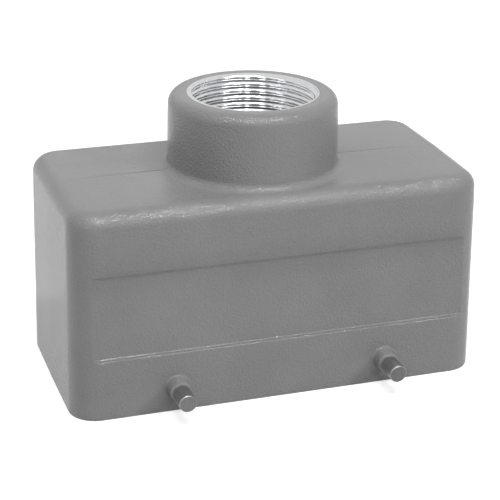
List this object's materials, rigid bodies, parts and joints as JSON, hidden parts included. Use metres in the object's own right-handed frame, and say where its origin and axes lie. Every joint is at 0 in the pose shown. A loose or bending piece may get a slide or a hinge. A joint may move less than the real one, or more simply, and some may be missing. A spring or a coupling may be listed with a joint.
{
  "type": "rectangular connector hood",
  "caption": "Grey die-cast hood of a heavy duty rectangular connector, with a round threaded cable entry on top, locking pegs on its long sides and a male pin insert inside.",
  "frame": {"origin": "middle of the hood's rim, in the plane of the rim", "axes": "+X along the long side, +Y away from the long side that the picture shows, +Z out of the cable entry"},
  "size_m": [0.0934, 0.0628, 0.063],
  "materials": {
    "grey_coat": "semi-gloss grey powder coat with a fine orange peel",
    "bare_aluminium": "bright machined thread of the cable entry",
    "peg_steel": "turned stainless steel",
    "insert_plastic": "light grey glass-filled plastic",
    "contact_silver": "silver plated copper alloy",
    "earth_steel": "stamped steel, nickel plated",
    "screw_steel": "zinc plated steel"
  },
  "bodies": {
    "root": {"hood_casting": "grey_coat", "peg_front_left": "peg_steel", "peg_front_right": "peg_steel", "peg_back_left": "peg_steel", "peg_back_right": "peg_steel", "insert_body": "insert_plastic", "terminal_screws": "screw_steel", "contact_01": "contact_silver", "contact_02": "contact_silver", "contact_03": "contact_silver", "contact_04": "contact_silver", "contact_05": "contact_silver", "contact_06": "contact_silver", "contact_07": "contact_silver", "contact_08": "contact_silver", "contact_09": "contact_silver", "contact_10": "contact_silver", "contact_11": "contact_silver", "contact_12": "contact_silver", "contact_13": "contact_silver", "contact_14": "contact_silver", "contact_15": "contact_silver", "contact_16": "contact_silver", "earth_plate_left": "earth_steel", "earth_plate_right": "earth_steel", "earth_terminal_left": "earth_steel", "earth_terminal_right": "earth_steel", "earth_screws": "screw_steel", "spring_washers": "screw_steel", "fixing_screws": "screw_steel"}
  },
  "joints": []
}
